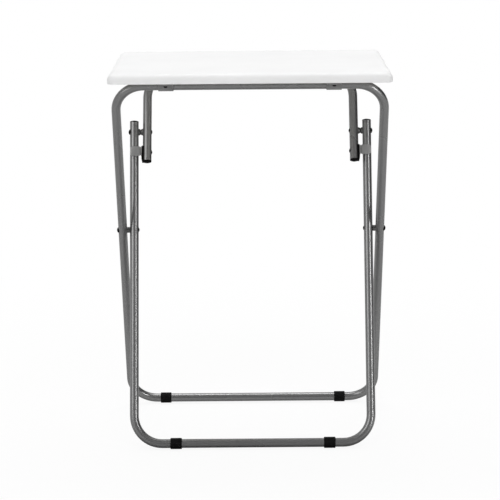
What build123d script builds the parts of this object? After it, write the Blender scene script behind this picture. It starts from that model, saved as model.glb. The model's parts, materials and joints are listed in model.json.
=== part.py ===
from build123d import *
import os
from math import asin, atan2, cos, degrees, hypot, pi, radians, sin, sqrt

# Folding snack table. A white board is carried by two crossed frames of round tube.
# The outer frame is a closed ring that hinges under the front of the board.
# The inner frame is a U that turns inside the ring, and a small U brace ties its tips
# to the back of the board.
# Millimetres. X to the right, Y to the back, Z up, the floor at Z = 0.

# Board
top_width = 485.0
top_depth = 380.0
top_thickness = 17.0
upper_edge_share = 0.62
lower_edge_share = 0.09
top_corner_margin = 1.0
table_height = 678.0

# Tube stock and bends
tube_diameter = 15.9
tube_wall = 1.0
leg_bend_radius = 50.0
brace_bend_radius = 57.0

# Places of the frames across the table
frame_inset = 2.05
leg_gap = 5.0
brace_gap = 7.7

# Side view of the linkage
front_hinge_inset = 54.0
rear_hinge_inset = 74.0
rail_gap = 0.5
leg_pivot_y = 0.0
leg_pivot_depth = 278.0
inner_tip_length = 18.0
brace_tail_length = 16.6
brace_tilt = radians(8.5)
folded_angle = radians(3.0)

# Foot sleeves
sleeve_wall = 2.0
sleeve_length = 20.4
sleeve_edge = 0.8
front_sleeve_inset = 14.4
rear_sleeve_inset = 5.3

# Saddles and their screws
saddle_width = 26.0
saddle_wall = 1.6
saddle_lug_height = 7.0
saddle_lug_length = 12.5
saddle_mouth = 13.0
front_saddle_inset = 25.0
rear_saddle_inset = 15.0
hinge_clearance = 0.08
screw_diameter = 3.5
screw_head_diameter = 6.6
screw_head_height = 3.2
screw_head_edge = 1.8
screw_bite = 11.0
recess_width = 1.0
recess_length = 3.0
recess_depth = 1.1

# Pivot rivets, spacers and collars
rivet_diameter = 5.0
rivet_head_diameter = 10.4
rivet_head_height = 2.6
small_head_diameter = 8.0
small_head_height = 1.4
pivot_clearance = 0.05
side_clearance = 0.15
brace_pivot_gap = 0.3
spacer_diameter = 10.6
collar_base_diameter = 12.0
collar_waist_diameter = 8.8
collar_bulge = 0.5

# End caps and the pads on the brace
cap_rim = 1.5
cap_dome = 1.9
cap_stem_length = 12.0
pad_thickness = 1.2
pad_width = 12.0
pad_lip = 1.0
pad_shoulder_edge = 0.6
pad_foot_edge = 5.0

# Stop brackets and their rivets
bracket_sheet = 2.0
bracket_height = 17.4
bracket_bend_radius = 0.3
bracket_heel_radius = 0.8
bracket_corner_radius = 5.0
bracket_gap = 0.3
plate_setback = 0.6
flange_tail_length = 6.0
stop_rivet_diameter = 4.0
stop_rivet_inset = 10.6
stop_rivet_margin = 0.2

# The board's rolled edge: a wide radius above, a small one below, and corners just wider
upper_edge_radius = upper_edge_share * top_thickness
lower_edge_radius = lower_edge_share * top_thickness
top_corner_radius = upper_edge_radius + top_corner_margin

# Tube radii and heights above the floor
tube_radius = tube_diameter / 2
bore_radius = tube_radius - tube_wall
sleeve_radius = tube_radius + sleeve_wall
underside = table_height - top_thickness
rail_drop = rail_gap + tube_radius
rail_height = underside - rail_drop
leg_pivot_height = rail_height - leg_pivot_depth
foot_height = sleeve_radius

# Places of the frames, sleeves and saddles across the table
outer_x = top_width / 2 - frame_inset - tube_radius
inner_x = outer_x - tube_diameter - leg_gap
brace_x = inner_x - tube_diameter - brace_gap
front_sleeve_x = inner_x - leg_bend_radius - front_sleeve_inset - sleeve_length / 2
rear_sleeve_x = outer_x - leg_bend_radius - rear_sleeve_inset - sleeve_length / 2
front_saddle_x = outer_x - leg_bend_radius - front_saddle_inset - saddle_width / 2
rear_saddle_x = brace_x - brace_bend_radius - rear_saddle_inset - saddle_width / 2

# The hinges under the board, and their spans to each other and to the leg pivot
front_hinge_y = front_hinge_inset - top_depth / 2
rear_hinge_y = top_depth / 2 - rear_hinge_inset
hinge_span = rear_hinge_y - front_hinge_y
outer_upper = hypot(leg_pivot_y - front_hinge_y, leg_pivot_depth)
pivot_span = hypot(rear_hinge_y - leg_pivot_y, leg_pivot_depth)

# The inner frame's upper length and the brace's arm meet at the tilt with the table open.
# Folded, the inner frame lies in the outer one, and the arm still reaches the rear hinge.
inner_upper = (outer_upper + pivot_span - hinge_span) / 2
for _ in range(40):
    brace_arm = sqrt(pivot_span**2 - (inner_upper * sin(brace_tilt)) ** 2) - inner_upper * cos(brace_tilt)
    folded_arm = sqrt(brace_arm**2 - (hinge_span * sin(folded_angle)) ** 2)
    folded_upper = outer_upper - hinge_span * cos(folded_angle) + folded_arm
    inner_upper = (inner_upper + folded_upper) / 2

# Leans of the frames from the vertical, and the legs below their pivot
outer_lean = atan2(leg_pivot_y - front_hinge_y, leg_pivot_depth)
span_lean = atan2(rear_hinge_y - leg_pivot_y, leg_pivot_depth)
inner_lean = span_lean - asin(brace_arm * sin(brace_tilt) / pivot_span)
brace_lean = inner_lean + brace_tilt
outer_lower = (leg_pivot_height - foot_height) / cos(outer_lean)
inner_lower = (leg_pivot_height - foot_height) / cos(inner_lean)

# Travel of each frame from open to folded
folded_reach = outer_upper - inner_upper
folded_drop = folded_reach * sin(folded_angle)
top_travel = pi / 2 - outer_lean - folded_angle
inner_travel = outer_lean + inner_lean
brace_travel = pi / 2 - brace_lean - atan2(folded_drop, hinge_span - folded_reach * cos(folded_angle))

# Each frame is drawn flat in its own plane: X across, Y up along the tubes, Z to the front.
leg_pivot = (0, leg_pivot_y, leg_pivot_height)
rear_hinge = (0, rear_hinge_y, rail_height)
outer_plane = Plane(leg_pivot, x_dir=(1, 0, 0), z_dir=(0, -cos(outer_lean), -sin(outer_lean)))
inner_plane = Plane(leg_pivot, x_dir=(1, 0, 0), z_dir=(0, -cos(inner_lean), sin(inner_lean)))
brace_plane = Plane(rear_hinge, x_dir=(1, 0, 0), z_dir=(0, -cos(brace_lean), sin(brace_lean)))

# The pad on the brace, the bracket's flange on the pad, and the plate before the inner tube
pad_face = brace_x + tube_radius + pad_thickness
flange_face = pad_face + bracket_sheet
plate_back = tube_radius + bracket_gap
plate_front = plate_back + bracket_sheet
plate_edge = inner_x + tube_radius - plate_setback

# The stop rivet sits on the brace's axis, where that axis is just behind the bracket's bend.
stop_rivet_front = plate_back - bracket_bend_radius - stop_rivet_diameter / 2 - stop_rivet_margin
stop_rivet_drop = stop_rivet_front / sin(brace_tilt)
stop_rivet_y = -brace_arm - stop_rivet_drop
bracket_top = stop_rivet_drop * cos(brace_tilt) - stop_rivet_inset
bracket_foot = bracket_top + bracket_height
brace_tail = brace_arm + stop_rivet_drop + brace_tail_length

to_right = Rot(0, 90, 0)
to_left = Rot(0, -90, 0)
nodes = {}


def add_pair(name, right_piece):
    """Keep a right-hand piece and its mirror image on the left."""
    nodes[f"{name}_right"] = right_piece
    nodes[f"{name}_left"] = mirror(right_piece, about=Plane.YZ)


def bent_tube(points, bend_radius):
    """Hollow round tube along straight runs with round bends."""
    path = FilletPolyline(*points, radius=bend_radius)
    start = Plane(path ^ 0)
    outside = sweep(start * Circle(tube_radius), path=path)
    return outside - sweep(start * Circle(bore_radius), path=path)


def cross_bar(diameter, start_x, end_x, y=0.0, z=0.0):
    """Round bar along X from one place to another."""
    return Pos((start_x + end_x) / 2, y, z) * to_right * Cylinder(diameter / 2, end_x - start_x)


def wall_cut(diameter, x, y):
    """Bar that cuts a hole through both walls of a tube."""
    return cross_bar(diameter, x - tube_diameter, x + tube_diameter, y)


def tube_core(x, y, length):
    """Solid bar as thick as a tube, along Y, that fits a piece to the side of that tube."""
    return Pos(x, y, 0) * Rot(90, 0, 0) * Cylinder(tube_radius, length)


def dome(diameter, height):
    """Low round cap that stands on the XY plane."""
    radius = diameter / 2
    ball = (radius**2 + height**2) / (2 * height)
    return Pos(0, 0, height - ball) * Sphere(ball) & Pos(0, 0, height / 2) * Cylinder(radius, height)


def screw_places(x, hinge_y):
    """Middles of a saddle's front and rear lugs."""
    offset = tube_radius + hinge_clearance + saddle_wall + saddle_lug_length / 2
    return [(x, hinge_y - offset), (x, hinge_y + offset)]


def board_with_pilots(places):
    """Board with rounded corners and a rolled edge, and a blind hole for each screw."""
    board = Pos(0, 0, underside + top_thickness / 2) * Box(top_width, top_depth, top_thickness)
    board = fillet(board.edges().filter_by(Axis.Z), top_corner_radius)
    board = fillet(board.edges().group_by(Axis.Z)[-1], upper_edge_radius)
    board = fillet(board.edges().group_by(Axis.Z)[0], lower_edge_radius)
    for x, y in places:
        board -= Pos(x, y, underside + screw_bite / 2) * Cylinder(screw_diameter / 2, screw_bite)
    return board


def saddle(x, hinge_y):
    """Snap saddle under the board: a round seat for a rail between two screw lugs."""
    outer_radius = tube_radius + hinge_clearance + saddle_wall
    reach = outer_radius + saddle_lug_length
    depth = rail_drop + outer_radius
    lugs = Pos(0, -saddle_lug_height / 2) * Rectangle(2 * reach, saddle_lug_height)
    profile = lugs + Pos(0, -rail_drop) * Circle(outer_radius)
    profile &= Pos(0, -depth / 2) * Rectangle(2 * reach, depth)
    profile -= Pos(0, -rail_drop) * Circle(tube_radius + hinge_clearance)
    profile -= Pos(0, -rail_drop / 2) * Rectangle(saddle_mouth, rail_drop)
    side_view = Plane((x - saddle_width / 2, hinge_y, underside), x_dir=(0, 1, 0), z_dir=(1, 0, 0))
    body = extrude(side_view * profile, saddle_width)
    for place_x, place_y in screw_places(x, hinge_y):
        hole = Cylinder(screw_diameter / 2, saddle_lug_height)
        body -= Pos(place_x, place_y, underside - saddle_lug_height / 2) * hole
    return body


def pan_head_screw():
    """Screw with its head down and the head's seat on the XY plane."""
    head = Pos(0, 0, -screw_head_height / 2) * Cylinder(screw_head_diameter / 2, screw_head_height)
    head = fillet(head.edges().group_by(Axis.Z)[0], screw_head_edge)
    slot = Box(recess_length, recess_width, recess_depth)
    head -= Pos(0, 0, recess_depth / 2 - screw_head_height) * (slot + Rot(0, 0, 90) * slot)
    length = saddle_lug_height + screw_bite
    return head + Pos(0, 0, length / 2) * Cylinder(screw_diameter / 2, length)


def saddle_screws(x, hinge_y):
    """The front and rear screws of one saddle."""
    seat = underside - saddle_lug_height
    front, rear = [Pos(px, py, seat) * pan_head_screw() for px, py in screw_places(x, hinge_y)]
    return front + rear


def foot_sleeve(x, rail_y):
    """Sleeve pushed over a foot rail, with rounded outer rims."""
    sleeve = fillet(Cylinder(sleeve_radius, sleeve_length).edges().filter_by(GeomType.CIRCLE), sleeve_edge)
    return Pos(x, rail_y, 0) * to_right * (sleeve - Cylinder(tube_radius, sleeve_length))


def outer_leg_frame():
    """Closed ring of tube, made of two mirrored halves."""
    corners = [(0, -outer_lower), (outer_x, -outer_lower), (outer_x, outer_upper), (0, outer_upper)]
    half = bent_tube(corners, leg_bend_radius) - wall_cut(rivet_diameter, outer_x, 0)
    return half + mirror(half, about=Plane.YZ)


def inner_leg_frame():
    """U of tube with its foot rail at the bottom and two free tips."""
    tip = inner_upper + inner_tip_length
    corners = [(-inner_x, tip), (-inner_x, -inner_lower), (inner_x, -inner_lower), (inner_x, tip)]
    frame = bent_tube(corners, leg_bend_radius)
    for x in (-inner_x, inner_x):
        frame -= wall_cut(rivet_diameter + 2 * pivot_clearance, x, 0)
        frame -= wall_cut(rivet_diameter, x, inner_upper)
    return frame


def brace_frame():
    """Small U of tube with its rail at the top and two free tails."""
    corners = [(-brace_x, -brace_tail), (-brace_x, 0), (brace_x, 0), (brace_x, -brace_tail)]
    frame = bent_tube(corners, brace_bend_radius)
    for x in (-brace_x, brace_x):
        frame -= wall_cut(rivet_diameter, x, -brace_arm)
        frame -= wall_cut(stop_rivet_diameter, x, stop_rivet_y)
    return frame


def seated_head(diameter, height, x, y, facing):
    """Domed rivet head on the right or left side of a tube, fitted to it."""
    stud = Pos(0, 0, -tube_radius / 2) * Cylinder(diameter / 2, tube_radius)
    crown = x + tube_radius if facing is to_right else x - tube_radius
    head = Pos(crown, y, 0) * facing * (stud + dome(diameter, height))
    return head - tube_core(x, y, 2 * diameter)


def leg_pivot_rivet():
    """Rivet through the outer tube, the spacer and the inner tube."""
    inner_face = inner_x - tube_radius - side_clearance
    shank = cross_bar(rivet_diameter, inner_face, outer_x + tube_radius)
    outer_head = seated_head(rivet_head_diameter, rivet_head_height, outer_x, 0, to_right)
    inner_head = Pos(inner_face, 0, 0) * to_left * dome(small_head_diameter, small_head_height)
    return shank + outer_head + inner_head


def leg_pivot_spacer():
    """Bush on the leg rivet, fitted to the outer tube and clear of the inner one."""
    bush = cross_bar(spacer_diameter, inner_x + tube_radius + side_clearance, outer_x)
    bush -= cross_bar(rivet_diameter, inner_x, outer_x)
    return bush - tube_core(outer_x, 0, 2 * spacer_diameter)


def brace_pivot_rivet(x, y, facing, head_diameter, head_height):
    """One half of the brace rivet: a head on one side of a tube and a shank to the pivot's middle."""
    reach = tube_radius + (brace_gap - brace_pivot_gap) / 2
    if facing is to_right:
        shank = cross_bar(rivet_diameter, x - reach, x + tube_radius, y)
    else:
        shank = cross_bar(rivet_diameter, x - tube_radius, x + reach, y)
    return shank + seated_head(head_diameter, head_height, x, y, facing)


def brace_pivot_collar(x, y, facing):
    """Rounded collar from the side of a tube to the pivot's middle."""
    length = (brace_gap - brace_pivot_gap) / 2
    base = collar_base_diameter / 2
    waist = collar_waist_diameter / 2
    flank = SagittaArc((0, base), (length, waist), collar_bulge)
    rest = Polyline((length, waist), (length, 0), (-tube_radius, 0), (-tube_radius, base), (0, base))
    button = Rot(0, -90, 0) * revolve(make_face(flank + rest), Axis.X)
    crown = x + tube_radius if facing is to_right else x - tube_radius
    button = Pos(crown, y, 0) * facing * button
    button -= tube_core(x, y, 2 * collar_base_diameter)
    return button - wall_cut(rivet_diameter, x, y)


def end_plug():
    """Domed plug: a stem down into a tube and a low dome over its end."""
    stem = Pos(0, 0, -cap_stem_length / 2) * Cylinder(bore_radius, cap_stem_length)
    rim = Pos(0, 0, cap_rim / 2) * Cylinder(tube_radius, cap_rim)
    return stem + rim + Pos(0, 0, cap_rim) * dome(tube_diameter, cap_dome)


def inner_leg_cap():
    """Plug in a tip of the inner frame."""
    return Pos(inner_x, inner_upper + inner_tip_length, 0) * Rot(-90, 0, 0) * end_plug()


def pad_block(outer_face, top):
    """Block on the outer side of the brace's tail, from a height down to the cap's rim."""
    foot = -brace_tail - cap_rim
    block = Box(outer_face - brace_x, top - foot, pad_width)
    return Pos((brace_x + outer_face) / 2, (top + foot) / 2, 0) * block


def brace_end_cap():
    """Plug in a tail of the brace, with a pad up the side of the tube and a shoulder under the bracket."""
    pad = pad_block(pad_face, -brace_arm - bracket_top)
    lowest_corner = bracket_foot * cos(brace_tilt) + plate_front * sin(brace_tilt)
    shoulder = pad_block(pad_face + pad_lip, -brace_arm - lowest_corner - bracket_gap)
    foot = shoulder.edges().filter_by(Axis.Z).group_by(Axis.X)[-1].sort_by(Axis.Y)[0]
    shoulder = fillet(foot, pad_foot_edge)
    brow = shoulder.edges().filter_by(Axis.Z).group_by(Axis.X)[-1].sort_by(Axis.Y)[-1]
    shoulder = fillet(brow, pad_shoulder_edge)
    side = pad + shoulder
    side -= Pos(brace_x, -brace_tail / 2, 0) * Rot(90, 0, 0) * Cylinder(tube_radius, brace_tail)
    side -= wall_cut(stop_rivet_diameter, brace_x, stop_rivet_y)
    return side + Pos(brace_x, -brace_tail, 0) * Rot(90, 0, 0) * end_plug()


def stop_bracket():
    """Bent sheet in the inner frame's plane: a flange on the brace's pad and a plate before the tube."""
    flange_back = stop_rivet_front - flange_tail_length
    outline = Polyline(
        (pad_face, flange_back),
        (pad_face, plate_front),
        (plate_edge, plate_front),
        (plate_edge, plate_back),
        (flange_face, plate_back),
        (flange_face, flange_back),
        close=True,
    )
    end_view = Plane((0, inner_upper - bracket_top, 0), x_dir=(1, 0, 0), z_dir=(0, -1, 0))
    sheet = extrude(end_view * make_face(outline), bracket_height)
    outer_bend = sheet.edges().filter_by(Axis.Y).group_by(Axis.Z)[-1].sort_by(Axis.X)[0]
    sheet = fillet(outer_bend, bracket_heel_radius)
    bend_place = (flange_face, inner_upper - bracket_top, plate_back)
    inner_bend = sheet.edges().filter_by(Axis.Y).sort_by_distance(bend_place)[0]
    sheet = fillet(inner_bend, bracket_bend_radius)
    plate_corners = sheet.edges().filter_by(Axis.Z).group_by(Axis.X)[-1]
    flange_corners = sheet.edges().filter_by(Axis.X).group_by(Axis.Z)[0]
    sheet = fillet(plate_corners + flange_corners, bracket_corner_radius)
    rivet_y = inner_upper - bracket_top - stop_rivet_inset
    return sheet - cross_bar(stop_rivet_diameter, pad_face, flange_face, rivet_y, stop_rivet_front)


def stop_rivet():
    """Rivet through the brace's tube and the pad, with its tail flush in the bracket's flange."""
    shank = cross_bar(stop_rivet_diameter, brace_x - tube_radius, flange_face, stop_rivet_y)
    return shank + seated_head(small_head_diameter, small_head_height, brace_x, stop_rivet_y, to_left)


# Top: the board, four saddles and their screws
add_pair("front_saddle", saddle(front_saddle_x, front_hinge_y))
add_pair("front_saddle_screws", saddle_screws(front_saddle_x, front_hinge_y))
add_pair("rear_saddle", saddle(rear_saddle_x, rear_hinge_y))
add_pair("rear_saddle_screws", saddle_screws(rear_saddle_x, rear_hinge_y))
pilots = []
for side in (-1, 1):
    pilots += screw_places(side * front_saddle_x, front_hinge_y)
    pilots += screw_places(side * rear_saddle_x, rear_hinge_y)
nodes["tabletop_board"] = board_with_pilots(pilots)

# Outer frame with its sleeves and leg pivots
nodes["outer_leg_frame"] = outer_plane * outer_leg_frame()
add_pair("rear_foot_sleeve", outer_plane * foot_sleeve(rear_sleeve_x, -outer_lower))
add_pair("leg_pivot_rivet", outer_plane * leg_pivot_rivet())
add_pair("leg_pivot_spacer", outer_plane * leg_pivot_spacer())

# Inner frame with its sleeves, caps and the outer halves of the brace pivots
brace_pivot = (inner_x, inner_upper)
nodes["inner_leg_frame"] = inner_plane * inner_leg_frame()
add_pair("front_foot_sleeve", inner_plane * foot_sleeve(front_sleeve_x, -inner_lower))
add_pair("inner_leg_cap", inner_plane * inner_leg_cap())
outer_half = brace_pivot_rivet(*brace_pivot, to_right, rivet_head_diameter, rivet_head_height)
add_pair("brace_pivot_outer_rivet", inner_plane * outer_half)
add_pair("brace_pivot_outer_collar", inner_plane * brace_pivot_collar(*brace_pivot, to_left))

# Brace with its caps, stop brackets and the inner halves of the brace pivots
brace_pivot = (brace_x, -brace_arm)
nodes["brace_frame"] = brace_plane * brace_frame()
add_pair("brace_end_cap", brace_plane * brace_end_cap())
add_pair("stop_bracket", inner_plane * stop_bracket())
add_pair("stop_rivet", brace_plane * stop_rivet())
inner_half = brace_pivot_rivet(*brace_pivot, to_left, small_head_diameter, small_head_height)
add_pair("brace_pivot_inner_rivet", brace_plane * inner_half)
add_pair("brace_pivot_inner_collar", brace_plane * brace_pivot_collar(*brace_pivot, to_right))

os.makedirs("parts", exist_ok=True)
for name, shape in nodes.items():
    export_step(shape, f"parts/{name}.step")

brace_pivot_y = leg_pivot_y + inner_upper * sin(inner_lean)
brace_pivot_z = leg_pivot_height + inner_upper * cos(inner_lean)
leans = [degrees(lean) for lean in (outer_lean, inner_lean, brace_lean)]
travels = [degrees(turn) for turn in (top_travel, inner_travel, brace_travel)]
print(f"front hinge at y {front_hinge_y:.3f}, rear hinge at y {rear_hinge_y:.3f}, z {rail_height:.3f}")
print(f"leg pivot at y {leg_pivot_y:.3f}, z {leg_pivot_height:.3f}")
print(f"brace pivot at y {brace_pivot_y:.3f}, z {brace_pivot_z:.3f}")
print("leans of the outer frame, inner frame and brace: {:.4f}, {:.4f}, {:.4f} degrees".format(*leans))
print("travel of the top, inner frame and brace: {:.4f}, {:.4f}, {:.4f} degrees".format(*travels))
print(f"inner frame above its pivot {inner_upper:.3f}, brace arm {brace_arm:.3f}")
print(f"foot rails apart when folded: {outer_lower - inner_lower:.2f}")
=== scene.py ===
# %% [markdown]
# # A folding snack table
#
# The photograph shows a small white table on two crossed frames of silver tube.
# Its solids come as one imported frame: each piece is already in its place, in metres, and tied to
# the body that it moves with. This lesson keeps that frame still and gives it its looks: the
# camera, the light, the finishes, and finer pieces where a plain solid is too hard-edged.
# The table's box is measured first, so that the end of the lesson can show nothing has grown.

import json
from math import atan2, pi, radians

import bmesh
import bpy
from mathutils import Matrix, Vector


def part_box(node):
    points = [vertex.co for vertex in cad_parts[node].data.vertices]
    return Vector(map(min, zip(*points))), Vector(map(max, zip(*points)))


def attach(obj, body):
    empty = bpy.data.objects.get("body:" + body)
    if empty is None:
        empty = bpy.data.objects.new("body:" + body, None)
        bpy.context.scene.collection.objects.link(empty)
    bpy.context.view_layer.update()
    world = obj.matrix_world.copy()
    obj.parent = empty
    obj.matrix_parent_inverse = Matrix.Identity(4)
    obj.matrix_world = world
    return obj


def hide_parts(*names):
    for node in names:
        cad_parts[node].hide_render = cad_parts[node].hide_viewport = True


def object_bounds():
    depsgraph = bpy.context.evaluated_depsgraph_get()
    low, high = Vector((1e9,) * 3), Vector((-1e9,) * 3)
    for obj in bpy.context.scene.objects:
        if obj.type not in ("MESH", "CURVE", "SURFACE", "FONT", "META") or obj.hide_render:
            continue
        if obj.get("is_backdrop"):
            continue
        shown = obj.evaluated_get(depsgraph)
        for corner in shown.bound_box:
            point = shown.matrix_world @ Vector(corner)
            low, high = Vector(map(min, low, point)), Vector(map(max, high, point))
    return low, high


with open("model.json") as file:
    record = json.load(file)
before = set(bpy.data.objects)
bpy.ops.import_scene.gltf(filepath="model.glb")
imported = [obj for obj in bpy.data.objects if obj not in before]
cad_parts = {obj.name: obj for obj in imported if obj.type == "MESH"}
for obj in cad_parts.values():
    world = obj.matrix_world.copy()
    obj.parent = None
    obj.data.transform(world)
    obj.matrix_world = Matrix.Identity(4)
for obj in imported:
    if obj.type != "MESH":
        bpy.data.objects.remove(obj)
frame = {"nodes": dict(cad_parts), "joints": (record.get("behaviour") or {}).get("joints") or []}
cad_low, cad_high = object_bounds()
nodes = frame["nodes"]
pivots = {joint["name"]: Vector(joint["pos_m"]) for joint in frame["joints"]}
print("size in metres:", [round(side, 4) for side in cad_high - cad_low])

# %% [markdown]
# ## The camera
#
# The picture was taken from the front, a little above the board, with a long lens that keeps the
# legs almost parallel. The distance, tilt and lens were found by matching the corners of the
# board, the pivots and the foot rails with their places in the picture. The matrix is built as a
# hand would turn a tripod head: first the roll, then the tilt, then the turn, then the place.

# %% Place the camera
picture_width = 500
focal_pixels = 2056.99
sensor_width = 36.0
camera_place = Vector((0.00471, -3.65597, 1.07927))
camera_turn = -0.0020
camera_tilt = 0.2007
camera_roll = -0.0084

bpy.context.scene.view_settings.view_transform = "Standard"
bpy.ops.object.camera_add()
camera = bpy.context.object
camera.name = "picture_camera"
camera.data.sensor_width = sensor_width
camera.data.lens = sensor_width * focal_pixels / picture_width
turn = Matrix.Rotation(-camera_turn, 4, "Z")
tilt = Matrix.Rotation(pi / 2 - camera_tilt, 4, "X")
roll = Matrix.Rotation(camera_roll, 4, "Z")
camera.matrix_world = Matrix.Translation(camera_place) @ turn @ tilt @ roll
bpy.context.scene.camera = camera
print(f"lens {camera.data.lens:.1f} mm, {-camera_place.y:.2f} m in front of the table")

# %% [markdown]
# ## Floor
#
# The picture is cut out on pure white. A real studio gets that from a white paper sweep with its
# own light. Here the floor is a big disc that shines white to the camera and keeps a part of its
# plain matt shading, so the feet still leave a soft shadow on it. The tubes mirror the floor as
# well, and close to the table the real paper lies in the table's own shade. So to reflections the
# disc is greyer, most of all round the front foot rail and in a narrow strip under each foot rail,
# which gives the tubes their dark undersides.

# %% Make the floor
def grey(level):
    """Colour of a neutral grey, from its 0 to 255 level in a picture."""
    share = level / 255
    linear = share / 12.92 if share <= 0.04045 else ((share + 0.055) / 1.055) ** 2.4
    return (linear, linear, linear, 1.0)


def add_node(tree, kind, **settings):
    """New shader node with its settings."""
    node = tree.nodes.new(kind)
    for name, value in settings.items():
        setattr(node, name, value)
    return node


def feed(tree, value, socket):
    """Link a pattern to a socket, or set a number on it."""
    if isinstance(value, bpy.types.NodeSocket):
        tree.links.new(value, socket)
    else:
        socket.default_value = value


def calculate(tree, operation, first, second, third=0.0):
    """Result of a sum on patterns or numbers."""
    node = add_node(tree, "ShaderNodeMath", operation=operation)
    for socket, value in zip(node.inputs, (first, second, third)):
        feed(tree, value, socket)
    return node.outputs[0]


def map_range(tree, value, low, high, to_low, to_high, **settings):
    """Pattern carried over from one range to another."""
    node = add_node(tree, "ShaderNodeMapRange", **settings)
    names = ("From Min", "From Max", "To Min", "To Max")
    for name, number in zip(names, (low, high, to_low, to_high)):
        node.inputs[name].default_value = number
    tree.links.new(value, node.inputs["Value"])
    return node.outputs["Result"]


def ramp(tree, value, reach, levels):
    """Smooth step of a pattern: over a reach, from one level to another."""
    return map_range(tree, value, *reach, *levels, interpolation_type="SMOOTHSTEP")


def camera_and_mirror_rays(tree):
    """Patterns that are 1 for rays from the camera, and for rays from shiny or clear surfaces."""
    path = add_node(tree, "ShaderNodeLightPath")
    shiny, clear = path.outputs["Is Glossy Ray"], path.outputs["Is Transmission Ray"]
    return path.outputs["Is Camera Ray"], calculate(tree, "MAXIMUM", shiny, clear)


def middle_of(name):
    """Middle of a solid's box."""
    low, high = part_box(name)
    return (low + high) / 2


floor_radius = 16.0
paper_level = 249
camera_glow_reach = (0.5, 1.6)
camera_glow = (0.9, 1.0)
shade_middle = (0, -0.17, 0)
shade_reach = (0.12, 0.38)
shade_depth = (-0.66, -0.28)
rail_shade_reach = (0.006, 0.022)
rail_shade_depth = (-0.3, 0.0)

bpy.ops.object.select_all(action="DESELECT")
bpy.ops.mesh.primitive_circle_add(vertices=96, radius=floor_radius, fill_type="NGON")
floor = bpy.context.object
floor.name = "studio_floor"
paper = bpy.data.materials.new("white_paper")
paper.use_nodes = True
tree = paper.node_tree
tree.nodes.remove(tree.nodes["Principled BSDF"])
matt = add_node(tree, "ShaderNodeBsdfDiffuse")
matt.inputs["Color"].default_value = grey(paper_level)
glow = add_node(tree, "ShaderNodeEmission")
place = add_node(tree, "ShaderNodeTexCoord")
from_shade = add_node(tree, "ShaderNodeVectorMath", operation="DISTANCE")
from_shade.inputs[1].default_value = shade_middle
tree.links.new(place.outputs["Object"], from_shade.inputs[0])
distance = from_shade.outputs["Value"]
camera_rays, mirror_rays = camera_and_mirror_rays(tree)
paper_glow = ramp(tree, distance, camera_glow_reach, camera_glow)
shade = ramp(tree, distance, shade_reach, shade_depth)
on_floor = add_node(tree, "ShaderNodeSeparateXYZ")
tree.links.new(place.outputs["Object"], on_floor.inputs["Vector"])
for sleeve_name in ("front_foot_sleeve_right", "rear_foot_sleeve_right"):
    from_rail = calculate(tree, "SUBTRACT", on_floor.outputs["Y"], middle_of(sleeve_name).y)
    beside_rail = calculate(tree, "ABSOLUTE", from_rail, 0.0)
    under_rail = ramp(tree, beside_rail, rail_shade_reach, rail_shade_depth)
    shade = calculate(tree, "ADD", shade, under_rail)
feed(tree, calculate(tree, "MULTIPLY_ADD", mirror_rays, shade, 1.0), glow.inputs["Strength"])
mix = add_node(tree, "ShaderNodeMixShader")
feed(tree, calculate(tree, "MULTIPLY_ADD", camera_rays, paper_glow, mirror_rays), mix.inputs["Fac"])
tree.links.new(matt.outputs[0], mix.inputs[1])
tree.links.new(glow.outputs[0], mix.inputs[2])
tree.links.new(mix.outputs[0], tree.nodes["Material Output"].inputs["Surface"])
floor.data.materials.append(paper)
floor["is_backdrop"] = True
print(f"floor {2 * floor_radius:.0f} m across")

# %% [markdown]
# ## Light
#
# The board tells one half of the light: its top is nearly white, its rolled edge a touch brighter,
# its front clearly greyer. That is a wide soft box overhead, a little behind the table, and a
# smaller one high in front. The rear foot rail tells where the first one ends: it has a bright line
# on top and the front rail has none, because there the board is in the way. The tubes tell the other
# half. Metal shows what stands round it, and here each leg has a broad soft band left of its middle,
# a thin bright one on the right, and dark edges. So a wide card stands on the left and a narrow one
# on the right, and a strip hangs above the back to draw that bright line. All three are only seen in
# reflections, so they draw the tubes without changing the board's shading, and the box in front is
# kept out of reflections, since the tubes show no sign of it. The room is the world: an even grey for
# the light on matt things. For reflections it is lighter on the left, dark on the right, and white
# behind the table, where the paper sweep stands: that sheen lifts the board's top.

# %% Light the set
def soft_box(name, azimuth, elevation, distance, width, height, power):
    """Rectangular lamp on a ball round the table, turned to its middle."""
    middle = (cad_low + cad_high) / 2
    away = Matrix.Rotation(radians(azimuth), 3, "Z") @ Matrix.Rotation(-radians(elevation), 3, "X")
    place = middle + distance * (away @ Vector((0, -1, 0)))
    bpy.ops.object.light_add(type="AREA", location=place)
    lamp = bpy.context.object
    lamp.name = name
    lamp.data.shape = "RECTANGLE"
    lamp.data.size = width
    lamp.data.size_y = height
    lamp.data.energy = power
    lamp.rotation_mode = "QUATERNION"
    lamp.rotation_quaternion = (middle - place).to_track_quat("-Z", "Y")
    return lamp


overhead = soft_box(
    "overhead_soft_box", azimuth=180, elevation=72, distance=4.6,
    width=5.0, height=2.2, power=82,
)
front = soft_box(
    "front_soft_box", azimuth=0, elevation=50, distance=4.2,
    width=3.0, height=2.0, power=48,
)
wide_card = soft_box(
    "wide_card_left", azimuth=-48, elevation=30, distance=3.2,
    width=1.6, height=2.4, power=26,
)
narrow_card = soft_box(
    "narrow_card_right", azimuth=48, elevation=14, distance=2.5,
    width=0.45, height=1.6, power=20,
)
strip_card = soft_box(
    "strip_card_above", azimuth=180, elevation=76, distance=3.0,
    width=1.4, height=0.5, power=15,
)
front.visible_glossy = False
for card in (wide_card, narrow_card, strip_card):
    card.visible_diffuse = False

wall_level = 191
left_reach = (-0.65, -0.15)
left_light = (0.6, 0.0)
right_reach = (0.3, 0.85)
right_light = (0.25, 0.0)
back_reach = (0.75, 0.95)
back_light = (0.0, 1.2)

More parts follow.
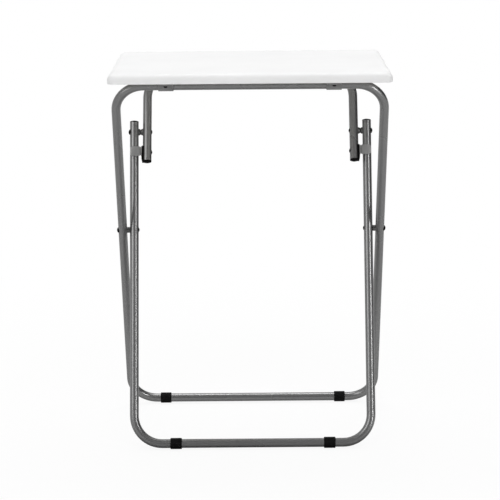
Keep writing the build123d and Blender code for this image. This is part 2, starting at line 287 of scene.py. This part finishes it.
room = bpy.context.scene.world or bpy.data.worlds.new("studio_room")
bpy.context.scene.world = room
room.use_nodes = True
tree = room.node_tree
tree.nodes.clear()
walls = add_node(tree, "ShaderNodeBackground")
walls.inputs["Color"].default_value = grey(wall_level)
towards = add_node(tree, "ShaderNodeTexCoord")
across = add_node(tree, "ShaderNodeSeparateXYZ")
tree.links.new(towards.outputs["Generated"], across.inputs["Vector"])
dark_right = ramp(tree, across.outputs["X"], right_reach, right_light)
light_left = ramp(tree, across.outputs["X"], left_reach, left_light)
sides = calculate(tree, "MAXIMUM", dark_right, light_left)
backdrop = ramp(tree, across.outputs["Y"], back_reach, back_light)
in_reflections = calculate(tree, "MAXIMUM", sides, backdrop)
camera_rays, mirror_rays = camera_and_mirror_rays(tree)
seen = add_node(tree, "ShaderNodeBackground")
seen.inputs["Color"].default_value = (1, 1, 1, 1)
strength = calculate(tree, "MULTIPLY_ADD", mirror_rays, in_reflections, camera_rays)
feed(tree, strength, seen.inputs["Strength"])
choose = add_node(tree, "ShaderNodeMixShader")
feed(tree, calculate(tree, "MAXIMUM", camera_rays, mirror_rays), choose.inputs["Fac"])
tree.links.new(walls.outputs[0], choose.inputs[1])
tree.links.new(seen.outputs[0], choose.inputs[2])
out = add_node(tree, "ShaderNodeOutputWorld")
tree.links.new(choose.outputs[0], out.inputs["Surface"])
print("lamps:", [lamp.name for lamp in (overhead, front, wide_card, narrow_card, strip_card)])

# %% [markdown]
# ## Silver paint on the tubes
#
# The three frames are bent from steel tube and sprayed with a satin silver paint. Their solids
# are already round and smooth, so they stay, and only get a finish. Silver paint is tiny metal
# flakes in a clear binder: most of the look is a soft metal shine, with a very fine speckle and
# the faint orange peel that spraying leaves. The speckle is a fine noise in the colour, the peel
# is a bump, and a slow noise makes some stretches a little duller than others.

# %% Paint the frames and fill their slots
def new_finish(name):
    """Material with its node tree and its main shader."""
    material = bpy.data.materials.new(name)
    material.use_nodes = True
    return material, material.node_tree, material.node_tree.nodes["Principled BSDF"]


def noise(tree, per_metre, detail=2.0):
    """Noise that sticks to the piece: about that many grains to a metre."""
    place = add_node(tree, "ShaderNodeTexCoord")
    grains = add_node(tree, "ShaderNodeTexNoise")
    grains.inputs["Scale"].default_value = per_metre
    grains.inputs["Detail"].default_value = detail
    tree.links.new(place.outputs["Object"], grains.inputs["Vector"])
    return grains.outputs["Fac"]


def colour_between(tree, pattern, dark, light):
    """Colour that follows a noise pattern from dark to light."""
    steps = add_node(tree, "ShaderNodeValToRGB")
    for step, place, colour in zip(steps.color_ramp.elements, colour_reach, (dark, light)):
        step.position = place
        step.color = colour
    tree.links.new(pattern, steps.inputs["Fac"])
    return steps.outputs["Color"]


def number_between(tree, pattern, low, high):
    """Number that follows a noise pattern from low to high."""
    return map_range(tree, pattern, *number_reach, low, high)


def bump(tree, shader, pattern, depth, strength):
    """Surface relief from a pattern, its depth in metres."""
    relief = add_node(tree, "ShaderNodeBump")
    relief.inputs["Distance"].default_value = depth
    relief.inputs["Strength"].default_value = strength
    tree.links.new(pattern, relief.inputs["Height"])
    tree.links.new(relief.outputs["Normal"], shader.inputs["Normal"])


def surface(
    tree, shader, *, greys, colour_grain, detail, dullness, dull_grain, relief_grain, depth, strength
):
    """Colour between two greys, roughness and relief, each from a noise of its own."""
    darkest, lightest = greys
    grains = noise(tree, colour_grain, detail)
    colour = colour_between(tree, grains, grey(darkest), grey(lightest))
    tree.links.new(colour, shader.inputs["Base Color"])
    roughness = number_between(tree, noise(tree, dull_grain), *dullness)
    tree.links.new(roughness, shader.inputs["Roughness"])
    bump(tree, shader, noise(tree, relief_grain), depth, strength)


def finish_nodes(material, *names):
    """Give solids of the frame a finish."""
    for name in names:
        nodes[name].material_slots[0].material = material
    print(f"{material.name} on {len(names)} solids")


colour_reach = (0.35, 0.65)
number_reach = (0.3, 0.7)

silver, tree, shader = new_finish("silver_paint")
shader.inputs["Metallic"].default_value = 0.7
surface(
    tree, shader, greys=(120, 140), colour_grain=2400, detail=1.0,
    dullness=(0.25, 0.30), dull_grain=9,
    relief_grain=900, depth=0.0001, strength=0.02,
)
finish_nodes(silver, "outer_leg_frame", "inner_leg_frame", "brace_frame")

# %% [markdown]
# ## The board
#
# The top is a white board, 17 mm thick, with round corners. Its upper edge is a wide roll, seen in
# the photograph as a bright band that turns slowly into a greyer front, and its lower edge is cut
# nearly sharp. A box is added at the solid's own size, and its edges are bevelled from the largest
# radius to the smallest: the four corners, the upper rim, the lower rim.

# %% Model the board
def select_edges(piece, wanted):
    """Select the edges whose two ends pass a test."""
    mesh = bmesh.from_edit_mesh(piece.data)
    for edge in mesh.edges:
        edge.select_set(False)
    for edge in mesh.edges:
        if wanted(edge.verts[0].co, edge.verts[1].co):
            edge.select_set(True)
    bmesh.update_edit_mesh(piece.data)


def add_block(name, low, high):
    """Box between two corners, with its place in its mesh."""
    bpy.ops.object.select_all(action="DESELECT")
    bpy.ops.mesh.primitive_cube_add(size=1, location=(low + high) / 2)
    piece = bpy.context.object
    piece.name = name
    piece.scale = high - low
    bpy.ops.object.transform_apply(location=True, rotation=True, scale=True)
    return piece


def smooth(piece, angle):
    """Round shading, with hard lines only where faces meet at more than an angle."""
    bpy.ops.object.select_all(action="DESELECT")
    piece.select_set(True)
    bpy.context.view_layer.objects.active = piece
    bpy.ops.object.shade_smooth_by_angle(angle=radians(angle))


def settle(piece, body, slot, finish, *stands_for):
    """Give a new piece its finish, its body and the solids that it stands for."""
    piece.data.materials.clear()
    piece.data.materials.append(finish)
    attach(piece, body)
    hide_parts(*stands_for)
    print(f"{piece.name}: {len(piece.data.polygons)} faces")


corner_radius = 0.01154
upper_edge_radius = 0.01054
lower_edge_radius = 0.00153
crease_angle = 40
hair = 0.00001

low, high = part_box("tabletop_board")
board = add_block("white_board_top", low, high)
bpy.ops.object.mode_set(mode="EDIT")
bpy.ops.mesh.select_mode(type="EDGE")
select_edges(board, lambda a, b: abs(a.z - b.z) > hair)
bpy.ops.mesh.bevel(offset=corner_radius, segments=12, affect="EDGES")
select_edges(board, lambda a, b: min(a.z, b.z) > high.z - hair)
bpy.ops.mesh.bevel(offset=upper_edge_radius, segments=14, affect="EDGES")
select_edges(board, lambda a, b: max(a.z, b.z) < low.z + hair)
bpy.ops.mesh.bevel(offset=lower_edge_radius, segments=4, affect="EDGES")
bpy.ops.object.mode_set(mode="OBJECT")
smooth(board, crease_angle)
print("board", [round(1000 * side, 1) for side in board.dimensions], "mm")

# %% [markdown]
# The finish is a white decor film with a satin face: a hint of pebble in the shine, and next to no
# colour of its own. Underneath, such boards have a plain backing paper, duller and a little warm.
# The height in the piece's own coordinates tells the two apart, so the line between them stays
# on the lower edge when the top folds down.

# %% Finish the board
backing_dark = (0.66, 0.65, 0.62, 1)
backing_light = (0.74, 0.73, 0.70, 1)
backing_end = low.z + 0.00005
film_start = low.z + 0.0002

laminate, tree, shader = new_finish("white_laminate")
shader.inputs["Specular IOR Level"].default_value = 0.3
place = add_node(tree, "ShaderNodeTexCoord")
height = add_node(tree, "ShaderNodeSeparateXYZ")
tree.links.new(place.outputs["Object"], height.inputs["Vector"])
film_share = map_range(tree, height.outputs["Z"], backing_end, film_start, 0.0, 1.0)
film = colour_between(tree, noise(tree, per_metre=9, detail=4.0), grey(240), grey(243))
backing = colour_between(tree, noise(tree, per_metre=160, detail=5.0), backing_dark, backing_light)
both = add_node(tree, "ShaderNodeMix", data_type="RGBA")
tree.links.new(film_share, both.inputs["Factor"])
tree.links.new(backing, both.inputs["A"])
tree.links.new(film, both.inputs["B"])
tree.links.new(both.outputs["Result"], shader.inputs["Base Color"])
roughness = number_between(tree, noise(tree, per_metre=14, detail=3.0), low=0.40, high=0.48)
tree.links.new(roughness, shader.inputs["Roughness"])
bump(tree, shader, noise(tree, per_metre=850), depth=0.00008, strength=0.2)
settle(board, "tabletop", "white_board", laminate, "tabletop_board")

# %% [markdown]
# ## Saddles
#
# Four moulded saddles hold the two rails under the board. Each is a strap over the tube with a lug
# before and behind it, and a screw through each lug. It could be drawn as a side view and pulled
# out, but a moulding is easier to think of as lumps that run together: a block for the lugs with
# round corners, a short cylinder for the strap, joined, and then a bore and a mouth cut out of both.
# A bevel over every sharp edge comes last, as the draft and the radii of a mould would give.

# %% Model one saddle
def cut_or_join(piece, tool, operation):
    """Boolean of two meshes; the tool is used up."""
    bpy.ops.object.select_all(action="DESELECT")
    piece.select_set(True)
    bpy.context.view_layer.objects.active = piece
    step = piece.modifiers.new("boolean", "BOOLEAN")
    step.operation = operation
    step.object = tool
    step.solver = "EXACT"
    bpy.ops.object.modifier_apply(modifier=step.name)
    bpy.data.objects.remove(tool)


def add_bar(name, middle, radius, length, sides=96):
    """Round bar along X, with its place in its mesh."""
    bpy.ops.object.select_all(action="DESELECT")
    bpy.ops.mesh.primitive_cylinder_add(
        vertices=sides, radius=radius, depth=length, location=middle, rotation=(0, pi / 2, 0)
    )
    piece = bpy.context.object
    piece.name = name
    bpy.ops.object.transform_apply(location=True, rotation=True, scale=True)
    return piece


def bevel_sharp(piece, width, segments, angle):
    """Round every edge that is sharper than an angle."""
    bpy.ops.object.select_all(action="DESELECT")
    piece.select_set(True)
    bpy.context.view_layer.objects.active = piece
    step = piece.modifiers.new("bevel", "BEVEL")
    step.width = width
    step.segments = segments
    step.limit_method = "ANGLE"
    step.angle_limit = radians(angle)
    bpy.ops.object.modifier_apply(modifier=step.name)


rail_radius = 0.00795
rail_play = 0.00008
lug_height = 0.007
lug_corner_radius = 0.004
mould_radius = 0.0005
mouth_width = 0.013

low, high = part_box("front_saddle_right")
axle = pivots["top_fold"].copy()
axle.x = (low.x + high.x) / 2
strap_radius = axle.z - low.z
saddle = add_block("front_saddle_moulding_right", Vector((low.x, low.y, high.z - lug_height)), high)
bpy.ops.object.mode_set(mode="EDIT")
select_edges(saddle, lambda a, b: abs(a.z - b.z) > hair)
bpy.ops.mesh.bevel(offset=lug_corner_radius, segments=6, affect="EDGES")
bpy.ops.object.mode_set(mode="OBJECT")
cut_or_join(saddle, add_bar("strap", axle, strap_radius, high.x - low.x), "UNION")
cut_or_join(saddle, add_bar("bore", axle, rail_radius + rail_play, 2 * (high.x - low.x)), "DIFFERENCE")
mouth_low = Vector((2 * low.x - high.x, axle.y - mouth_width / 2, axle.z))
mouth_high = Vector((2 * high.x - low.x, axle.y + mouth_width / 2, high.z + lug_height))
cut_or_join(saddle, add_block("mouth", mouth_low, mouth_high), "DIFFERENCE")
bevel_sharp(saddle, mould_radius, segments=3, angle=35)
smooth(saddle, crease_angle)
print("saddle", [round(1000 * side, 1) for side in saddle.dimensions], "mm")

# %% [markdown]
# The saddles are a plain grey plastic, close to the paint but with no metal in it. Moulded plastic
# has a fine spark-eroded grain from its tool, so the shine breaks up and the colour hardly varies.

# %% Copy the saddle to its four places
def copy_piece(piece, name, shift):
    """Copy with a mesh of its own, moved by a shift."""
    bpy.ops.object.select_all(action="DESELECT")
    piece.select_set(True)
    bpy.context.view_layer.objects.active = piece
    bpy.ops.object.duplicate()
    copy = bpy.context.object
    copy.name = name
    copy.location = shift
    bpy.ops.object.transform_apply(location=True, rotation=True, scale=True)
    return copy


moulded_grey, tree, shader = new_finish("grey_moulded_plastic")
surface(
    tree, shader, greys=(112, 122), colour_grain=60, detail=3.0,
    dullness=(0.42, 0.55), dull_grain=300,
    relief_grain=1600, depth=0.00006, strength=0.3,
)
home = middle_of("front_saddle_right")
for end in ("front", "rear"):
    for side in ("left", "right"):
        name = f"{end}_saddle_{side}"
        piece = saddle
        if name != "front_saddle_right":
            piece = copy_piece(saddle, f"{end}_saddle_moulding_{side}", middle_of(name) - home)
        settle(piece, "tabletop", "saddle_plastic", moulded_grey, name)

# %% [markdown]
# ## Feet
#
# Each foot rail wears two black sleeves that keep the paint off the floor. A sleeve is a plain ring,
# so it is spun: one small rectangle stands on the top of the rail, its outer corners are rounded, and
# it turns once round the rail. A spun mesh meets itself at the start, so its doubles are merged and
# its faces turned outwards.

# %% Spin one foot sleeve and copy it
def clean_up():
    """Merge doubles and turn the faces of the mesh in edit mode outwards."""
    bpy.ops.mesh.select_all(action="SELECT")
    bpy.ops.mesh.remove_doubles(threshold=hair / 2)
    bpy.ops.mesh.normals_make_consistent(inside=False)


sleeve_rim_radius = 0.0011

low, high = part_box("front_foot_sleeve_right")
rail = (low + high) / 2
bpy.ops.object.select_all(action="DESELECT")
bpy.ops.mesh.primitive_plane_add(size=1, location=(rail.x, rail.y, (high.z + rail.z + rail_radius) / 2))
sleeve = bpy.context.object
sleeve.name = "front_foot_sleeve_rubber_right"
sleeve.rotation_euler = (pi / 2, 0, 0)
sleeve.scale = (high.x - low.x, high.z - rail.z - rail_radius, 1)
bpy.ops.object.transform_apply(location=True, rotation=True, scale=True)
bpy.ops.object.mode_set(mode="EDIT")
bpy.ops.mesh.select_mode(type="VERT")
profile = bmesh.from_edit_mesh(sleeve.data)
for corner in profile.verts:
    corner.select_set(corner.co.z > high.z - hair)
bmesh.update_edit_mesh(sleeve.data)
bpy.ops.mesh.bevel(offset=sleeve_rim_radius, segments=5, affect="VERTICES")
bpy.ops.mesh.select_all(action="SELECT")
bpy.ops.mesh.delete(type="ONLY_FACE")
bpy.ops.mesh.select_all(action="SELECT")
bpy.ops.mesh.spin(steps=72, angle=2 * pi, center=rail, axis=(1, 0, 0))
clean_up()
bpy.ops.object.mode_set(mode="OBJECT")
smooth(sleeve, crease_angle)
print("sleeve", [round(1000 * side, 1) for side in sleeve.dimensions], "mm")

# %% [markdown]
# The sleeves are a matt black rubber. It hardly shines, so its shine is turned down on the shader,
# and a fine grain with a breath of grey dust keeps it from being a flat black hole.

# %% Finish the feet
rubber, tree, shader = new_finish("black_foot_rubber")
shader.inputs["Specular IOR Level"].default_value = 0.07
surface(
    tree, shader, greys=(9, 18), colour_grain=240, detail=5.0,
    dullness=(0.55, 0.75), dull_grain=400,
    relief_grain=1300, depth=0.0001, strength=0.4,
)
for end, body in (("front", "inner_frame"), ("rear", "outer_frame")):
    for side in ("left", "right"):
        name = f"{end}_foot_sleeve_{side}"
        piece = sleeve
        if name != "front_foot_sleeve_right":
            piece = copy_piece(sleeve, f"{end}_foot_sleeve_rubber_{side}", middle_of(name) - rail)
        settle(piece, body, "foot_rubber", rubber, name)

# %% [markdown]
# ## Stop brackets
#
# A bent plate on each brace tail lies across the front of the inner leg and stops the table from
# opening too far. It is easiest to make lying flat in the plane of the leg and to lean it back
# afterwards. The lean comes from two places that the frame already has: the foot rail and the leg
# pivot. The solid's own corners, seen in that plane, give the size of the plate and the flange.
# Beside the bend the photograph shows a dark line with a nick at each end: the sheet is scored
# there. A square bar turned on its edge cuts the score, and two pins cut the nicks.

# %% Model one stop bracket
def leaning(pivot, foot):
    """Matrix from the flat plane of a leg to its place: Y runs up the leg, Z to its front."""
    lean = atan2(pivot.y - foot.y, pivot.z - foot.z)
    return Matrix.Translation((0, pivot.y, pivot.z)) @ Matrix.Rotation(pi / 2 - lean, 4, "X")


def flat_box(name, stand):
    """Corners of a solid's box in the flat plane of a leg."""
    back = stand.inverted()
    points = [back @ vertex.co for vertex in nodes[name].data.vertices]
    low = Vector([min(point[axis] for point in points) for axis in range(3)])
    high = Vector([max(point[axis] for point in points) for axis in range(3)])
    return low, high


def on_line(point, line):
    """Whether a point lies on a line along Y."""
    return max(abs(point.x - line.x), abs(point.z - line.z)) < hair


sheet = 0.002
bend_inside = 0.0003
heel_radius = 0.0008
plate_corner_radius = 0.005
groove_width = 0.0016
notch_radius = 0.0012
groove_inset = 0.0032
deburred_radius = 0.0002
facing_down = -0.9

leg_stand = leaning(pivots["leg_fold"], middle_of("front_foot_sleeve_right"))
low, high = flat_box("stop_bracket_right", leg_stand)
groove_x = low.x + groove_inset
bracket = add_block("stop_bracket_plate_right", Vector((low.x, low.y, high.z - sheet)), high)
bpy.ops.object.mode_set(mode="EDIT")
bpy.ops.mesh.select_all(action="SELECT")
bpy.ops.mesh.bisect(plane_co=(low.x + sheet, 0, 0), plane_no=(1, 0, 0))
bpy.ops.mesh.select_mode(type="FACE")
mesh = bmesh.from_edit_mesh(bracket.data)
for face in mesh.faces:
    middle = face.calc_center_median()
    face.select_set(face.normal.z < facing_down and middle.x < low.x + sheet)
bmesh.update_edit_mesh(bracket.data)
flange_length = high.z - sheet - low.z
bpy.ops.mesh.extrude_region_move(TRANSFORM_OT_translate={"value": (0, 0, -flange_length)})
bpy.ops.mesh.select_mode(type="EDGE")
select_edges(bracket, lambda a, b: max(a.x, b.x) < low.x + hair and min(a.z, b.z) > high.z - hair)
bpy.ops.mesh.bevel(offset=heel_radius, segments=4, affect="EDGES")
bend = Vector((low.x + sheet, 0, high.z - sheet))
select_edges(bracket, lambda a, b: on_line(a, bend) and on_line(b, bend))
bpy.ops.mesh.bevel(offset=bend_inside, segments=3, affect="EDGES")
select_edges(bracket, lambda a, b: min(a.x, b.x) > high.x - hair and abs(a.z - b.z) > hair)
bpy.ops.mesh.bevel(offset=plate_corner_radius, segments=8, affect="EDGES")
select_edges(bracket, lambda a, b: max(a.z, b.z) < low.z + hair and abs(a.x - b.x) > hair)
bpy.ops.mesh.bevel(offset=plate_corner_radius, segments=8, affect="EDGES")
bpy.ops.object.mode_set(mode="OBJECT")
groove = add_block(
    "groove", Vector((-groove_width / 2, 2 * low.y - high.y, -groove_width / 2)),
    Vector((groove_width / 2, 2 * high.y - low.y, groove_width / 2)),
)
groove.matrix_world = Matrix.Translation((groove_x, 0, high.z)) @ Matrix.Rotation(pi / 4, 4, "Y")
cut_or_join(bracket, groove, "DIFFERENCE")
for edge_y in (low.y, high.y):
    bpy.ops.mesh.primitive_cylinder_add(
        vertices=24, radius=notch_radius, depth=4 * sheet, location=(groove_x, edge_y, high.z)
    )
    cut_or_join(bracket, bpy.context.object, "DIFFERENCE")
bevel_sharp(bracket, deburred_radius, segments=2, angle=50)
bracket.matrix_world = leg_stand
bpy.ops.object.transform_apply(location=True, rotation=True, scale=True)
smooth(bracket, crease_angle)
print("bracket", [round(1000 * side, 1) for side in bracket.dimensions], "mm")

# %% [markdown]
# The left bracket is the mirror image of the right one. Both wear the silver of the tubes. Here they
# get a copy of that paint that is duller, with less metal, a wider range of roughness and a stronger
# peel, and its colour is painted lighter than on the tubes: a painted highlight for how brightly the
# flat plate is lit.

# %% Mirror the bracket and paint both
def mirror_piece(piece, name):
    """Copy on the other side of the table, with its faces turned outwards again."""
    copy = copy_piece(piece, name, (0, 0, 0))
    copy.scale = (-1, 1, 1)
    bpy.ops.object.transform_apply(location=True, rotation=True, scale=True)
    bpy.ops.object.mode_set(mode="EDIT")
    clean_up()
    bpy.ops.object.mode_set(mode="OBJECT")
    return copy


other_bracket = mirror_piece(bracket, "stop_bracket_plate_left")
plate_paint_painted_lighter, tree, shader = new_finish("silver_paint_on_plate_painted_lighter")
shader.inputs["Metallic"].default_value = 0.5
# the greys are the tube silver painted lighter: a painted highlight for the brightly lit flat plate
surface(
    tree, shader, greys=(145, 161), colour_grain=2400, detail=1.0,
    dullness=(0.42, 0.5), dull_grain=90,
    relief_grain=900, depth=0.0001, strength=0.15,
)
settle(bracket, "brace", "silver_paint", plate_paint_painted_lighter, "stop_bracket_right")
settle(other_bracket, "brace", "silver_paint", plate_paint_painted_lighter, "stop_bracket_left")

# %% [markdown]
# ## Black caps
#
# Black plugs close the tips of the inner frame and the tails of the brace, and the ones on the brace
# run up the side of the tube as a pad for the bracket. Their solids have the rim, the low dome and
# the round foot already, so they stay. A moulded black has next to no colour of its own: what is
# seen is its shine. The photograph shows hardly any, so the shine is low and broken by a fine grain.

# %% Finish the caps
black_plastic, tree, shader = new_finish("black_cap_plastic")
shader.inputs["Specular IOR Level"].default_value = 0.04
surface(
    tree, shader, greys=(7, 13), colour_grain=120, detail=3.0,
    dullness=(0.55, 0.7), dull_grain=300,
    relief_grain=1500, depth=0.00006, strength=0.3,
)
caps = [f"{cap}_{side}" for cap in ("inner_leg_cap", "brace_end_cap") for side in ("left", "right")]
finish_nodes(black_plastic, *caps)

# %% [markdown]
# ## Black steel
#
# The rivets at the pivots and the screws in the saddles are small domes and pan heads of blackened
# steel. At this size the shape counts more than the finish, and the solids carry the domes and the
# cross recess. The black is a thin oxide, so it is a dark coat with a weak, slightly uneven shine.

# %% Finish the rivets and screws
black_steel, tree, shader = new_finish("black_steel")
shader.inputs["Specular IOR Level"].default_value = 0.05
surface(
    tree, shader, greys=(7, 14), colour_grain=500, detail=3.0,
    dullness=(0.42, 0.55), dull_grain=200,
    relief_grain=1200, depth=0.00004, strength=0.2,
)
rivets = ("leg_pivot_rivet", "brace_pivot_outer_rivet", "brace_pivot_inner_rivet", "stop_rivet")
screws = ("front_saddle_screws", "rear_saddle_screws")
finish_nodes(black_steel, *[f"{name}_{side}" for name in rivets + screws for side in ("left", "right")])

# %% [markdown]
# ## Collars
#
# Between the tubes each pivot has turned steel: two rounded collars where the brace meets the inner
# frame, and a plain bush where the legs cross. A lathe leaves fine rings round such a piece. They are
# bands across X, the direction of all the pivots, so a wave pattern along X makes them in the bump.

# %% Finish the collars and spacers
turned, tree, shader = new_finish("turned_collar_steel")
shader.inputs["Metallic"].default_value = 0.8
colour = colour_between(tree, noise(tree, per_metre=300, detail=3.0), grey(82), grey(102))
tree.links.new(colour, shader.inputs["Base Color"])
roughness = number_between(tree, noise(tree, per_metre=150), low=0.32, high=0.42)
tree.links.new(roughness, shader.inputs["Roughness"])
place = add_node(tree, "ShaderNodeTexCoord")
rings = add_node(tree, "ShaderNodeTexWave", bands_direction="X")
rings.inputs["Scale"].default_value = 900
rings.inputs["Distortion"].default_value = 0.6
tree.links.new(place.outputs["Object"], rings.inputs["Vector"])
bump(tree, shader, rings.outputs["Fac"], depth=0.00005, strength=0.3)
bushes = ("leg_pivot_spacer", "brace_pivot_outer_collar", "brace_pivot_inner_collar")
finish_nodes(turned, *[f"{name}_{side}" for name in bushes for side in ("left", "right")])

# %% [markdown]
# ## Check the size and finish
#
# The finer pieces must not make the table bigger than its solids. The box round everything is taken
# once more and compared with the first one, and the difference is printed.

# %% Measure and finish
low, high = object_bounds()
growth = (high - low) - (cad_high - cad_low)
print("grown by, in millimetres:", [round(1000 * side, 3) for side in growth])
